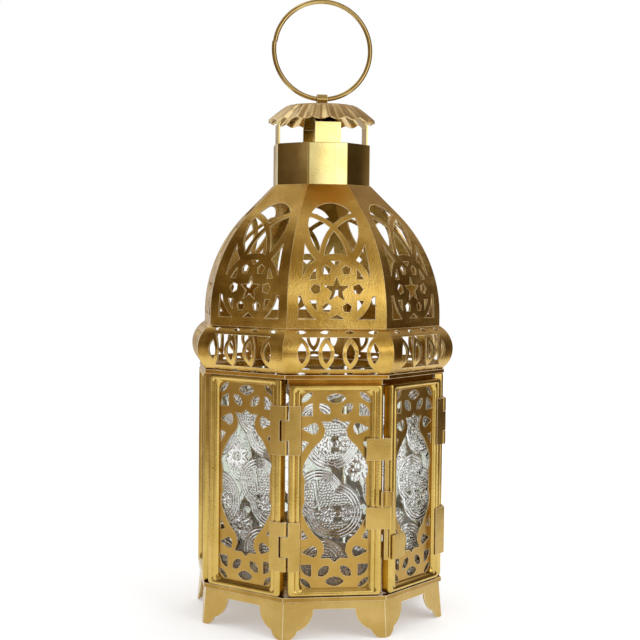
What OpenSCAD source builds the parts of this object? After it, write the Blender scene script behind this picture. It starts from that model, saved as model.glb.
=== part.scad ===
// Eight-sided pierced sheet-metal candle lantern with two doors, a slide bolt and a hanging ring.
// Origin on the floor below the centre axis, +Z up, the left door faces -Y. Millimetres.

/* [Body] */
// Distance from the centre axis to the outer plane of the side panels
panel_apothem = 51; // [48:0.5:54]
// Height of a fixed side panel
panel_h = 87.5; // [80:0.5:96]
// Distance from an octagon corner to the edge of a panel frame
corner_gap = 2.2; // [2:0.1:3]
// Thickness of the formed sheet metal
sheet_t = 0.8; // [0.6:0.1:1]

/* [Base] */
// Height from the floor to the rim of the base plate
skirt_h = 15.2; // [13:0.2:18]
// Height of the arch between two feet
arch_h = 12.2; // [9:0.2:12.6]
// Width of a foot, from the octagon corner to the arch
foot_w = 12.65; // [10:0.25:15]
// Width of the lower lobe of a foot
foot_toe_w = 6; // [4.5:0.25:7.5]
// Height of the cusp between the two lobes of a foot
foot_cusp_h = 3.6; // [2.5:0.1:4.5]
// How far the feet spread outwards over the height of the skirt
skirt_flare = 1.3; // [0.4:0.1:2]
// Height of the turned-down rim of the base plate
plate_rim_h = 1.9; // [1.5:0.1:2.5]
// How far the base plate stays inside the panel plane
plate_inset = 0.4; // [0.2:0.1:1]

/* [Frames] */
// Width of the moulding on the upright sides of a frame
frame_band = 5; // [3.6:0.1:5.2]
// Width of the moulding along the top and bottom of a frame
frame_rail = 2.9; // [2.5:0.1:3.4]
// Depth of a panel frame
frame_d = 3.9; // [3.2:0.1:4]
// Radius of the outer corners of a frame
frame_corner_r = 1.1; // [0.8:0.1:1.3]
// Gap between the base plate and a door
door_lift = 0.4; // [0.3:0.1:0.8]
// Gap between a door and the eaves
door_drop = 2.2; // [1:0.1:3]

/* [Infill] */
// Thickness of the pierced sheet
grille_t = 0.5; // [0.4:0.1:0.6]
// Thickness of the pressed glass
glass_t = 1.8; // [1.5:0.1:2.2]
// Thickness of the clips that hold the glass
clip_t = 0.5; // [0.4:0.05:0.5]
// Height of a glass clip
clip_h = 4; // [3:0.5:6]

/* [Belly] */
// Height of the bulged band above the panels
belly_h = 19.1; // [16:0.1:22]
// How far the band bulges out from its necks
belly_bulge = 5.4; // [4:0.1:6.5]
// How far the necks of the band lie inside the panel plane
neck_inset = 2.5; // [1.8:0.1:4]
// Width of the flat eaves ring under the band
eaves_w = 5; // [4:0.1:6]
// How far the door stop hangs below the eaves ring
stop_h = 2.6; // [1.5:0.1:4]
// Height of the turned-up rim of the eaves ring
eaves_rim_h = 0.9; // [0.5:0.1:1.5]

/* [Dome] */
// Height of the upright wall at the foot of the dome
dome_wall_h = 4.4; // [3:0.1:6]
// Radius of the curve of a dome petal
dome_r = 62; // [56:1:68]
// Slope of the straight crown of a petal, from upright
dome_slope = 43.5; // [41:0.5:46]

/* [Chimney] */
// Distance from the centre axis to a face of the collar
collar_apothem = 20.15; // [19:0.05:21.5]
// Height of the collar
collar_h = 17.4; // [14:0.2:20]
// Width of a strut
strut_w = 11; // [9:0.5:12]
// Clear height of the vent between the collar and the brim of the cap
vent_h = 10.2; // [8:0.2:13]
// How far a strut reaches down inside the collar
strut_seat = 8; // [5:0.5:12]
// Radius of the fluted cap at its brim
cap_r = 22.9; // [22:0.1:24.5]
// Radius of the flat top of the cap
cap_flat_r = 14.4; // [13.8:0.1:15]
// Height of the cap from brim to flat top
cap_h = 6.7; // [6.2:0.1:8]
// Number of flutes round the cap
flutes = 20; // [16:1:24]
// Depth of the flutes at the brim, ridge to mean surface
flute_d = 0.7; // [0.4:0.05:1]
// Thickness of the cap
cap_t = 0.7; // [0.5:0.1:0.9]

/* [Hanging ring] */
// Radius of the ring, to the middle of its wire
ring_r = 20.8; // [18:0.1:24]
// Diameter of the ring wire
wire_d = 2.05; // [1.8:0.05:2.4]
// Width of the strap that holds the ring
strap_w = 4.5; // [3.5:0.1:5]
// Thickness of the strap
strap_t = 0.8; // [0.6:0.1:0.9]
// Clearance between the strap and the wire
strap_gap = 0.25; // [0.2:0.05:0.4]
// Height of the wire above the cap
ring_lift = 2; // [1.8:0.1:3]

/* [Hinges] */
// Height of a hinge
hinge_h = 19.7; // [16:0.1:23]
// Width of a hinge leaf, from the pin axis
hinge_leaf_w = 6.3; // [5:0.1:7]
// Thickness of a hinge leaf
hinge_leaf_t = 0.6; // [0.5:0.1:0.8]
// Radius of a hinge pin
pin_r = 0.6; // [0.5:0.05:0.8]
// Radial running clearance of a door knuckle on its pin
pin_fit = 0.05; // [0.03:0.01:0.08]
// How far the pin axis lies behind the panel plane
pin_sink = 0.8; // [0.7:0.05:0.95]
// Height of the lower hinge above the base plate
hinge_low = 10.7; // [8:0.1:14]
// Distance from the upper hinge up to the eaves
hinge_drop = 10.5; // [9:0.1:14]

/* [Latch] */
// Height of the bolt guides
guide_h = 8.8; // [7:0.1:10]
// Height of the lower guide above the base plate
guide_low = 27.2; // [26:0.1:29]
// Height of the upper guide above the base plate
guide_high = 55; // [53:0.1:58]
// Width of a bolt guide on the door frame
guide_w = 10; // [8:0.1:12]
// Thickness of the guides and of the keeper
guide_t = 0.55; // [0.45:0.05:0.6]
// Width of the slide bolt
bolt_w = 1.6; // [1.3:0.05:1.7]
// Thickness of the slide bolt
bolt_t = 0.8; // [0.6:0.05:0.9]
// Clearance round the slide bolt in its guides
bolt_gap = 0.15; // [0.1:0.01:0.2]
// How far the bolt reaches below its finger tab
bolt_reach = 21.7; // [19:0.1:24]
// Height of the finger tab
tab_h = 6.4; // [5:0.1:7]
// Width of the finger tab
tab_w = 6; // [4:0.1:6.4]
// How far the finger tab curls forwards
tab_d = 2.1; // [1.6:0.1:2.3]
// Height of the keeper plate
keeper_h = 9.7; // [8:0.1:11]
// Height of the keeper above the base plate
keeper_low = 14.5; // [13:0.1:16]

/* [Candle cup] */
// Inner radius of the cup that holds a tealight
cup_r = 19.75; // [19:0.05:21]
// Height of the cup
cup_h = 8; // [6:0.5:12]

/* [Hidden] */
neck_apothem = panel_apothem - neck_inset;
sides = 8;
half = 180 / sides;
turn = 360 / sides;
over = 1;
gold = "#c9a24a";
pale = "#dcc27a";
dark = "#a67c2e";
clear = "#dfe9e6";
fine = $preview ? 48 : 96;

// Heights of the stack
plate_z = skirt_h + plate_rim_h;
eaves_z = plate_z + panel_h;
belly_z = eaves_z + sheet_t;
dome_z = belly_z + belly_h;
arc_end_ap = neck_apothem - dome_r * (1 - cos(dome_slope));
arc_end_z = dome_z + dome_wall_h + dome_r * sin(dome_slope);
dome_top_z = arc_end_z + (arc_end_ap - collar_apothem) / tan(dome_slope);
collar_top_z = dome_top_z + collar_h;
cap_top_z = collar_top_z + vent_h + cap_h;
ring_pivot_z = cap_top_z + ring_lift + wire_d / 2;

// Plan sizes
plate_apothem = panel_apothem - plate_inset;
skirt_gap = sheet_t / 4;
skirt_apothem = plate_apothem - sheet_t - skirt_gap;
frame_w = 2 * (panel_apothem * tan(half) - corner_gap);
door_h = panel_h - door_lift - door_drop;
petal_half = neck_apothem * tan(half);
pin_ap = panel_apothem - pin_sink;
pin_x = pin_ap * tan(half);
knuckle_r = pin_sink + hinge_leaf_t;

// Layers of a panel, measured back from its front plane
wall_share = 0.15;
frame_wall = frame_band * wall_share;
lip_share = 0.5;
grille_back = frame_d * lip_share;
glass_back = grille_back + grille_t;
clip_back = glass_back + glass_t;
infill_gap = frame_wall / 5;
infill_w = frame_w - 2 * (frame_wall + clip_t + infill_gap);
rail_wall = frame_rail * wall_share;

// A copy turned to one side of the octagon, 0 at the left door and counting anticlockwise
module on_side(i) rotate([0, 0, turn * i]) children();

// Octagonal prism with flat sides at the given distance from the axis
module octagon(apothem, h) rotate([0, 0, half]) cylinder(r = apothem / cos(half), h = h, $fn = sides);

// Octagonal ring of sheet
module octagon_ring(apothem, width, h) {
    difference() {
        octagon(apothem, h);
        translate([0, 0, -over]) octagon(apothem - width, h + 2 * over);
    }
}

// The part of space behind one side of the octagon
module wedge(z0, z1) {
    reach = 2 * panel_apothem;
    translate([0, 0, z0]) linear_extrude(z1 - z0)
        polygon([[0, 0], [-reach * tan(half), -reach], [reach * tan(half), -reach]]);
}

// A flat profile in the Y-Z plane, drawn out along X
module along_x(w) translate([-w / 2, 0, 0]) rotate([90, 0, 90]) linear_extrude(w) children();

// A flat outline in the X-Z plane, drawn forwards from y0 to y1
module along_y(y0, y1) translate([0, y1, 0]) rotate([90, 0, 0]) linear_extrude(y1 - y0) children();

// Closed outline of a strip of thickness t whose left edge runs along the points
function unit(v) = v / norm(v);
function left_of(v) = [-v[1], v[0]];
function run(p, i) = unit(p[min(i + 1, len(p) - 1)] - p[min(i, len(p) - 2)]);
function bend(p, i) = let (a = left_of(run(p, max(i - 1, 0))), b = left_of(run(p, i))) (a + b) / (1 + a * b);
function ribbon(p, t) = concat(p, [for (i = [len(p) - 1 : -1 : 0]) p[i] - t * bend(p, i)]);

// Pointed oval hole, long along X
module leaf(length, width) {
    r = (length * length + width * width) / (4 * width);
    intersection_for (s = [-1, 1]) translate([0, s * (r - width / 2)]) circle(r, $fn = fine);
}

// Copies mirrored about the upright centre line, and about the level one too
module both_ways() for (s = [0, 1]) mirror([s, 0, 0]) children();
module four_ways() for (s = [0, 1]) mirror([0, s]) both_ways() children();

// Base

toe_rise_share = 0.28;
toe_shift_share = 0.17;
toe_flat_share = 0.05;
lobe_shift_share = 0.24;
foot_steps = 6;
// Quarter-ellipse arc from the point at angle a0 to the point at angle a1
function oval(c, r, a0, a1, n) = [for (i = [0 : n]) let (a = a0 + (a1 - a0) * i / n) c + [r[0] * cos(a), r[1] * sin(a)]];

// Opening between two feet: toes, cusps, upper lobes and arch, about the middle of a skirt side
module arch(corner) {
    toe_h = foot_cusp_h * (1 + toe_rise_share);
    toe_a = asin(toe_rise_share * foot_cusp_h / toe_h);
    toe_r = (foot_toe_w - foot_toe_w * toe_shift_share) / cos(toe_a);
    lobe_x = foot_w * lobe_shift_share;
    lobe_a = acos((foot_toe_w - lobe_x) / (foot_w - lobe_x));
    lobe_r = (arch_h - foot_cusp_h) / sin(lobe_a);
    toe = oval([foot_toe_w * toe_shift_share, toe_h], [toe_r, toe_h], -90, -toe_a, foot_steps);
    lobe = oval([lobe_x, arch_h], [foot_w - lobe_x, lobe_r], -lobe_a, 0, foot_steps);
    edge = [for (p = concat(toe, lobe)) [p[0] - corner, p[1] - toe_flat_share * foot_cusp_h]];
    polygon(concat([[edge[0][0], -over]], edge, [for (i = [len(edge) - 1 : -1 : 0]) [-edge[i][0], edge[i][1]]],
        [[-edge[0][0], -over]]));
}

// Eight-sided skirt that spreads towards the floor, cut into feet by an arch in each side
module base_skirt() color(gold) {
    seat_z = plate_z - sheet_t;
    spread = skirt_flare * seat_z / skirt_h;
    skirt_cone(skirt_apothem, spread, seat_z);
}

module skirt_cone(apothem, spread, h) difference() {
    octagon_taper(apothem + spread, apothem, 0, h);
    octagon_taper(apothem + 2 * spread - sheet_t, apothem - spread - sheet_t, -h, 2 * h);
    for (i = [0 : sides - 1]) on_side(i) along_y(-2 * panel_apothem, 0) arch((apothem + spread) * tan(half));
}

// Octagonal taper from one apothem at z0 to another at z1
module octagon_taper(low, high, z0, z1) translate([0, 0, z0]) rotate([0, 0, half])
    cylinder(r1 = low / cos(half), r2 = high / cos(half), h = z1 - z0, $fn = sides);

module base_plate() color(gold) {
    translate([0, 0, plate_z - sheet_t]) octagon(plate_apothem, sheet_t);
    translate([0, 0, skirt_h]) octagon_ring(plate_apothem, sheet_t, plate_rim_h);
}

module candle_cup() color(pale) translate([0, 0, plate_z]) rotate_extrude($fn = fine) {
    square([cup_r + sheet_t, sheet_t]);
    translate([cup_r, 0]) square([sheet_t, cup_h]);
}

// Panel frames: a pressed channel with an outer bead, a groove and an inner bead

bead_share = 0.26;
// Rounding of a bead as [across, down] and the floor of the moulding as [across, depth]
round_shares = [[0, 1], [0.076, 0.617], [0.293, 0.293], [0.617, 0.076], [1, 0]];
roof_shares = [[0.40, 0.03], [0.50, 0.12], [0.56, 0.14], [0.62, 0.08], [0.73, 0.04], [0.87, 0.11], [1, 0.26]];

// Section as [distance in from the outer edge, depth], for a moulding of the given width
function section(band) = let (
    bead = [band, frame_band] * bead_share,
    wall = band * wall_share,
    skin = frame_wall,
    outer = concat([[0, frame_d]], [for (s = round_shares) [bead[0] * s[0], bead[1] * s[1]]],
        [for (s = roof_shares) [s[0] * band, s[1] * frame_d]], [[band, grille_back]]),
    inner = concat([[band - wall, grille_back]],
        [for (i = [len(roof_shares) - 1 : -1 : 0]) let (s = roof_shares[i])
            [min(s[0] * band, band - wall), s[1] * frame_d + skin]],
        [for (i = [len(round_shares) - 1 : -1 : 0]) let (s = round_shares[i])
            [wall + (bead[0] - wall) * s[0], skin + (bead[1] - skin) * s[1]]], [[wall, frame_d]]))
    concat(outer, inner);

// One frame of the given height, standing on z0, with its front plane at the panel plane
module panel_frame(z0, h) color(gold) translate([0, -panel_apothem, z0]) {
    for (s = [0, 1], t = [0, 1]) translate([0, 0, h * t]) mirror([0, 0, t]) mirror([s, 0, 0])
        translate([-frame_w / 2, 0, 0]) frame_corner(frame_w / 2 + over, h / 2 + over);
}

corner_ease_share = 1.03;

// An upright and a rail that meet in a mitre at the origin, with the outer corner rounded
module frame_corner(w, h) {
    mitre = 2 * [frame_band, frame_rail];
    back = frame_d + over;
    difference() {
        union() {
            intersection() {
                linear_extrude(h) polygon(section(frame_band));
                along_y(-over, back) polygon([[0, 0], mitre, [mitre[0], h], [0, h]]);
            }
            intersection() {
                rotate([90, 0, 90]) linear_extrude(w) polygon([for (p = section(frame_rail)) [p[1], p[0]]]);
                along_y(-over, back) polygon([[0, 0], [w, 0], [w, mitre[1]], mitre]);
            }
        }
        along_y(-over, back) difference() {
            translate([-over, -over]) square(over + frame_corner_r);
            translate([frame_corner_r, frame_corner_r]) circle(frame_corner_r * corner_ease_share, $fn = fine);
        }
    }
}

// Rectangle with round corners, centred in x and standing on its lower edge
module rounded(w, h, r) {
    translate([-w / 2 + r, 0]) square([w - 2 * r, h]);
    translate([-w / 2, r]) square([w, h - 2 * r]);
    for (x = [-1, 1], z = [r, h - r]) translate([x * (w / 2 - r), z]) circle(r, $fn = fine);
}

// Pierced sheet: a tall opening with two lobes, necks and crowns, and small holes round it

crown_shares = [[0, 0.736], [0.148, 0.695], [0.418, 0.697], [0.302, 0.618], [0.344, 0.545], [0.434, 0.503],
    [0.608, 0.447], [0.756, 0.37], [0.868, 0.30], [0.93, 0.245], [0.948, 0.20], [0.92, 0.15], [0.878, 0.105],
    [0.894, 0.05], [0.899, 0]];
tear_shares = [[0.97, 0.627], [0.78, 0.663], [0.60, 0.686], [0.525, 0.662], [0.505, 0.625], [0.535, 0.59],
    [0.635, 0.566], [0.80, 0.592]];
nick_shares = [[0.965, 0.505], [0.80, 0.49], [0.80, 0.475], [0.90, 0.425], [0.965, 0.39]];
// Corner, width and height of the quarter-round hole
fan_shares = [0.677, 0.756, 0.31, 0.125];
// Centre across, centre up, length, width and slant in degrees
spot_shares = [[0.845, 0.945, 0.43, 0.16, -42], [0.323, 0.827, 0.42, 0.25, 43]];
keystone_shares = [0.932, 0.56, 0.28];

module grille_holes(gu, gv) {
    edge = [for (p = crown_shares) [p[0] * gu, p[1] * gv]];
    both_ways() for (s = [0, 1]) mirror([0, s]) polygon(concat([[0, 0]], edge));
    f = fan_shares;
    four_ways() {
        for (shares = [tear_shares, nick_shares]) polygon([for (p = shares) [p[0] * gu, p[1] * gv]]);
        polygon(concat([[f[0] * gu, f[1] * gv]],
            oval([f[0] * gu, f[1] * gv], [f[2] * gu, f[3] * gv], 0, 90, foot_steps)));
        for (p = spot_shares)
            translate([p[0] * gu, p[1] * gv]) rotate(p[4]) leaf(p[2] * gu, p[3] * gu);
    }
    for (s = [-1, 1]) translate([0, s * keystone_shares[0] * gv])
        leaf(keystone_shares[1] * gu, keystone_shares[2] * gu);
}

module panel_grille(z0, h) color(pale) {
    inset = rail_wall + infill_gap;
    along_y(grille_back - panel_apothem, glass_back - panel_apothem) difference() {
        translate([-infill_w / 2, z0 + inset]) square([infill_w, h - 2 * inset]);
        translate([0, z0 + h / 2]) grille_holes(frame_w / 2 - frame_band, h / 2 - frame_rail);
    }
}

module panel_glass(z0, h) color(clear, 0.6) {
    inset = rail_wall + infill_gap;
    along_y(glass_back - panel_apothem, clip_back - panel_apothem)
        translate([0, z0 + inset]) rounded(infill_w, h - 2 * inset, frame_corner_r);
}

clip_shares = [0.22, 0.78];

// Bent tabs on the back of a frame that press the glass forwards
module panel_clips(z0, h) color(gold) for (share = clip_shares, s = [-1, 1]) {
    z = z0 + h * share - clip_h / 2;
    edge = frame_w / 2 - frame_wall;
    translate([0, 0, z]) linear_extrude(clip_h) translate([0, -panel_apothem]) mirror([s > 0 ? 1 : 0, 0]) {
        translate([-edge, glass_back]) square([clip_t, glass_t + clip_t]);
        translate([-edge, clip_back]) square([frame_band - frame_wall, clip_t]);
    }
}

module fixed_panel_frame(i) on_side(i) panel_frame(plate_z, panel_h);
module fixed_panel_grille(i) on_side(i) panel_grille(plate_z, panel_h);
module fixed_panel_glass(i) on_side(i) panel_glass(plate_z, panel_h);
module door_frame(i) on_side(i) panel_frame(plate_z + door_lift, door_h);
module door_grille(i) on_side(i) panel_grille(plate_z + door_lift, door_h);
module door_glass(i) on_side(i) panel_glass(plate_z + door_lift, door_h);
module door_clips(i) on_side(i) panel_clips(plate_z + door_lift, door_h);
module glass_clips() for (i = [2 : sides - 1]) on_side(i) panel_clips(plate_z, panel_h);

// Eaves and belly

module eaves_ring() color(gold) translate([0, 0, eaves_z]) {
    octagon_ring(plate_apothem, eaves_w, sheet_t);
    translate([0, 0, -stop_h]) octagon_ring(plate_apothem - eaves_w + sheet_t, sheet_t, stop_h + sheet_t);
    octagon_ring(plate_apothem, sheet_t, sheet_t + eaves_rim_h);
}

// Radius of an arc as tall as the belly that bulges by b
function arc_r(b) = (b * b + belly_h * belly_h / 4) / (2 * b);
neck_t = sheet_t / (1 - belly_bulge / arc_r(belly_bulge));
belly_steps = 12;

// Points of an upright arc that starts and ends at the given apothem and bulges by b, from bottom to top
function belly_arc(apothem, b) = let (r = arc_r(b), a = asin(belly_h / 2 / r))
    [for (i = [0 : belly_steps]) let (c = a * (2 * i / belly_steps - 1))
        [r - apothem - b - r * cos(c), belly_z + belly_h / 2 + r * sin(c)]];

eye_gap_share = 0.2415;
eye_w_share = 0.36;
eye_h_share = 0.86;
rim_w_share = 0.66;
rim_h_share = 1.34;
waist_h_share = 1.32;
slot_w_share = 0.42;
slot_h_share = 0.13;
slot_rise_share = 0.86;

// Row of eyes in pointed rims, with waisted openings between and slots above and below
module belly_holes() {
    pitch = 2 * petal_half * eye_gap_share;
    rise = belly_h / 2;
    for (k = [-1.5 : 1.5]) translate([k * pitch, 0]) {
        rotate(90) leaf(eye_h_share * rise, eye_w_share * pitch);
        for (s = [-1, 1]) translate([0, s * slot_rise_share * rise]) leaf(slot_w_share * pitch, slot_h_share * rise);
    }
    for (k = [-1 : 1]) translate([k * pitch, 0]) difference() {
        square([pitch, waist_h_share * rise], center = true);
        for (s = [-0.5, 0.5]) translate([s * pitch, 0]) rotate(90) leaf(rim_h_share * rise, rim_w_share * pitch);
    }
}

module belly_side() difference() {
    intersection() {
        along_x(2 * panel_apothem) polygon(concat(belly_arc(neck_apothem, belly_bulge),
            [for (i = [belly_steps : -1 : 0])
                belly_arc(neck_apothem - neck_t, belly_bulge - sheet_t + neck_t)[i]]));
        wedge(belly_z, dome_z);
    }
    along_y(-2 * panel_apothem, 0) translate([0, belly_z + belly_h / 2]) belly_holes();
}

module belly_band() color(gold) for (i = [0 : sides - 1]) on_side(i) belly_side();

// Dome petals

dome_steps = 12;
// Side profile of a petal at depth t behind its outer face, from bottom to top
function petal_profile(t) = concat([[-neck_apothem + t, dome_z]],
    [for (i = [0 : dome_steps]) let (a = dome_slope * i / dome_steps, r = dome_r - t)
        [-(neck_apothem - dome_r) - r * cos(a), dome_z + dome_wall_h + r * sin(a)]],
    [[-collar_apothem + t / cos(dome_slope), dome_top_z]]);

// Places and radii of the petal's ornament, in half-widths of the petal's foot
rosette_shares = [0.775, 0.587, 0.72];
star_shares = [0.265, 0.11];
bud_shares = [[0.20, 1.165, 0.10, 90], [0.425, 0.79, 0.11, 0], [0.205, 0.42, 0.10, 90]];
medallion_shares = [2.02, 0.508];
tail_shares = [0.277, 2.01, 0.783, 0.94];
cross_shares = [0.72, 1.303, 0.964, 1.064];
sliver_shares = [0.41, 0.985, 1.25];
flank_shares = [[0.38, 1.05], [0.675, 1.05], [0.66, 1.30], [0.60, 1.72], [0.38, 1.72]];
corner_shares = [0.40, 0.775, 0.188, 0.655];
drop_shares = [[0.10, 1.345, -0.095], [0.145, 0.20, 0.09]];

module disc(x, z, r) translate([x * petal_half, z * petal_half]) circle(r * petal_half, $fn = fine);
module block(x0, x1, z0, z1) translate([x0 * petal_half, z0 * petal_half])
    square([(x1 - x0) * petal_half, (z1 - z0) * petal_half]);
module both_discs(x, z, r) intersection() {
    disc(-x, z, r);
    disc(x, z, r);
}

// Round head whose sides run down to a point
module medallion() {
    t = tail_shares;
    disc(0, medallion_shares[0], medallion_shares[1]);
    intersection() {
        both_discs(t[0], t[1], t[2]);
        block(-1, 1, 0, t[1]);
    }
}

// Two crossing arcs inside the medallion, which leave a half-moon and two leaves open
module medallion_holes() {
    c = cross_shares;
    difference() {
        medallion();
        for (s = [-1, 1]) disc(s * c[0], c[1], c[3]);
    }
    both_ways() difference() {
        intersection() {
            medallion();
            disc(c[0], c[1], c[2]);
        }
        disc(-c[0], c[1], c[3]);
    }
}

// Pointed window between the crossing arcs and the rosette
module lancet_hole() {
    r = rosette_shares;
    difference() {
        both_discs(cross_shares[0], cross_shares[1], cross_shares[2]);
        block(-1, 1, -1, r[0]);
        disc(0, r[0], r[2]);
    }
}

// Five-pointed star among six buds, with slivers along the rosette's rim
module rosette_holes() {
    r = rosette_shares;
    translate([0, r[0] * petal_half]) polygon([for (i = [0 : 9])
        petal_half * star_shares[i % 2] * [cos(90 + 36 * i), sin(90 + 36 * i)]]);
    both_ways() for (b = bud_shares) translate([b[0] * petal_half, b[1] * petal_half]) rotate(b[3])
        circle(b[2] * petal_half, $fn = 5);
    both_ways() intersection() {
        disc(0, r[0], r[1]);
        union() for (s = [0, 1]) translate([0, 2 * r[0] * petal_half * s]) mirror([0, s])
            block(sliver_shares[0], 1, sliver_shares[1], sliver_shares[2]);
    }
}

// Openings in the corners between the rosette, the medallion and the petal's edges
module corner_holes() {
    r = rosette_shares;
    t = tail_shares;
    both_ways() difference() {
        block(corner_shares[0], corner_shares[1], corner_shares[2], corner_shares[3]);
        disc(0, r[0], r[2]);
    }
    both_ways() difference() {
        polygon(petal_half * flank_shares);
        disc(0, r[0], r[2]);
        disc(-t[0], t[1], t[3]);
    }
    for (d = drop_shares) polygon(petal_half * [[-d[0], d[1]], [d[0], d[1]], [0, d[1] + d[2]]]);
}

module dome_petal(i) color(gold) on_side(i) difference() {
    intersection() {
        along_x(2 * panel_apothem) polygon(concat(petal_profile(0), [for (k = [dome_steps + 2 : -1 : 0])
            petal_profile(sheet_t)[k]]));
        wedge(dome_z, dome_top_z);
    }
    along_y(-2 * panel_apothem, 0) translate([0, dome_z]) {
        medallion_holes();
        lancet_hole();
        rosette_holes();
        corner_holes();
    }
}

// Chimney

module chimney_collar() color(pale) translate([0, 0, dome_top_z]) octagon_ring(collar_apothem, sheet_t, collar_h);

strut_foot_share = 0.66;

// Four bent strips from the inside of the collar to the underside of the cap
module chimney_struts() color(pale) {
    ap = collar_apothem - sheet_t;
    top = cap_top_z - cap_t;
    bend_z = collar_top_z + vent_h - 2 * sheet_t;
    inner = cap_flat_r - 2 * sheet_t;
    path = [[-ap, collar_top_z - strut_seat], [-ap, bend_z], [-inner, top], [-cap_flat_r * strut_foot_share, top]];
    for (i = [0 : 2 : sides - 1]) on_side(i) along_x(strut_w) polygon(ribbon(path, sheet_t));
}

flute_points = 6;
slot_r = sqrt(strap_w * strap_w / 4 + strap_t * strap_t) + strap_gap;
cap_slope = atan(cap_h / (cap_r - cap_flat_r));
// Share of the way from flat top to brim, and share of the full flute depth there
cap_shares = [[0, 0], [0.12, 0.25], [0.4, 0.6], [0.7, 0.85], [1, 1]];

// One ring of points round the cap, at a share of the way to the brim and lowered by drop
function cap_ring(s, drop) = let (n = flutes * flute_points,
    r = cap_flat_r + (cap_r - cap_flat_r) * s[0],
    z = cap_top_z - cap_h * s[0] - drop)
    [for (k = [0 : n - 1]) let (a = 360 * k / n, wave = flute_d * s[1] * cos(flutes * a))
        [r * cos(a - 90), r * sin(a - 90), z + wave]];
function slot_ring(z) = let (n = flutes * flute_points)
    [for (k = [0 : n - 1]) let (a = 360 * k / n - 90) [slot_r * cos(a), slot_r * sin(a), z]];

module chimney_cap() color(gold) {
    skin = cap_t / cos(cap_slope);
    last = len(cap_shares) - 1;
    rings = concat([slot_ring(cap_top_z)], [for (s = cap_shares) cap_ring(s, 0)],
        [for (i = [last : -1 : 1]) cap_ring(cap_shares[i], skin)],
        [cap_ring(cap_shares[0], cap_t), slot_ring(cap_top_z - cap_t)]);
    n = flutes * flute_points;
    m = len(rings);
    polyhedron([for (ring = rings, p = ring) p], [for (j = [0 : m - 1], k = [0 : n - 1], h = [0, 1])
        let (a = j * n + k, b = j * n + (k + 1) % n, c = ((j + 1) % m) * n + (k + 1) % n, d = ((j + 1) % m) * n + k)
        h == 0 ? [a, c, b] : [a, d, c]], convexity = 8);
}

// Ring and strap

strap_foot_share = 0.48;

// Band round the ring's wire whose two legs go through the cap and spread under it
module ring_strap() color(pale) along_x(strap_w) {
    inner = wire_d / 2 + strap_gap;
    foot = cap_flat_r * strap_foot_share;
    low = cap_top_z - cap_t - strap_t;
    translate([0, ring_pivot_z]) difference() {
        union() {
            circle(inner + strap_t, $fn = fine);
            translate([-strap_t, low - ring_pivot_z]) square([2 * strap_t, ring_pivot_z - low]);
        }
        circle(inner, $fn = fine);
    }
    translate([-foot, low]) square([2 * foot, strap_t]);
}

module hanging_ring() color(gold) translate([0, 0, ring_pivot_z + ring_r]) rotate([90, 0, 0])
    rotate_extrude($fn = fine) translate([ring_r, 0]) circle(wire_d / 2, $fn = fine);

// Hinges: the pin stands in the groove at an octagon corner, at the left edge of a panel

knuckle_shares = [0, 0.29, 0.71, 1];
knuckle_gap = 2 * pin_fit;
leaf_start = 2 * pin_sink;

// A leaf on the left edge of the panel that faces -Y, with the given knuckles and bore
module hinge_leaf(z, knuckles, bore) color(dark) translate([-pin_x, -pin_ap, z]) difference() {
    union() {
        translate([leaf_start, -knuckle_r, 0]) cube([hinge_leaf_w - leaf_start, hinge_leaf_t, hinge_h]);
        for (k = knuckles) knuckle(k);
    }
    translate([0, 0, -over]) cylinder(r = bore, h = hinge_h + 2 * over, $fn = fine);
}

module knuckle(k) {
    low = knuckle_shares[k] * hinge_h + (k > 0 ? knuckle_gap : 0);
    high = knuckle_shares[k + 1] * hinge_h - (k < 2 ? knuckle_gap : 0);
    translate([0, 0, low]) {
        cylinder(r = knuckle_r, h = high - low, $fn = fine);
        translate([0, -knuckle_r, 0]) cube([leaf_start, hinge_leaf_t, high - low]);
    }
}

hinge_zs = [plate_z + hinge_low, eaves_z - hinge_drop - hinge_h];
outer_two = [0, 2];
middle = [1];

// The door at the front hangs on its left corner, its neighbour on its right corner
module left_hinge_leaves() for (z = hinge_zs) on_side(sides - 1) mirror([1, 0, 0]) hinge_leaf(z, outer_two, pin_r);
module left_door_leaves() for (z = hinge_zs) hinge_leaf(z, middle, pin_r + pin_fit);
module right_hinge_leaves() on_side(2) {
    hinge_leaf(hinge_zs[0], middle, pin_r);
    hinge_leaf(hinge_zs[1], outer_two, pin_r);
}
module right_door_leaves() on_side(1) mirror([1, 0, 0]) {
    hinge_leaf(hinge_zs[0], outer_two, pin_r + pin_fit);
    hinge_leaf(hinge_zs[1], middle, pin_r + pin_fit);
}

module hinge_pins() color(dark) for (z = hinge_zs, i = [0, 2]) on_side(i)
    translate([-pin_x, -pin_ap, z]) cylinder(r = pin_r, h = hinge_h, $fn = fine);

// Latch on the edge where the two doors meet

bolt_in = frame_w / 2 + corner_gap * 0.4;
bolt_front = bolt_gap - panel_apothem;

// Plate on the frame whose outer edge folds back round the bolt
module bolt_guide(z) color(pale) {
    out_x = bolt_in + bolt_w + bolt_gap;
    back = bolt_front + bolt_t + bolt_gap;
    translate([0, 0, z]) linear_extrude(guide_h) {
        translate([out_x + guide_t - guide_w, -panel_apothem - guide_t]) square([guide_w, guide_t]);
        translate([out_x, -panel_apothem - guide_t]) square([guide_t, back + 2 * guide_t + panel_apothem]);
        translate([bolt_in, back]) square([out_x - bolt_in, guide_t]);
    }
}

module upper_bolt_guide() bolt_guide(plate_z + guide_high);
module lower_bolt_guide() bolt_guide(plate_z + guide_low);

tab_gap = 2 * bolt_gap;

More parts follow.
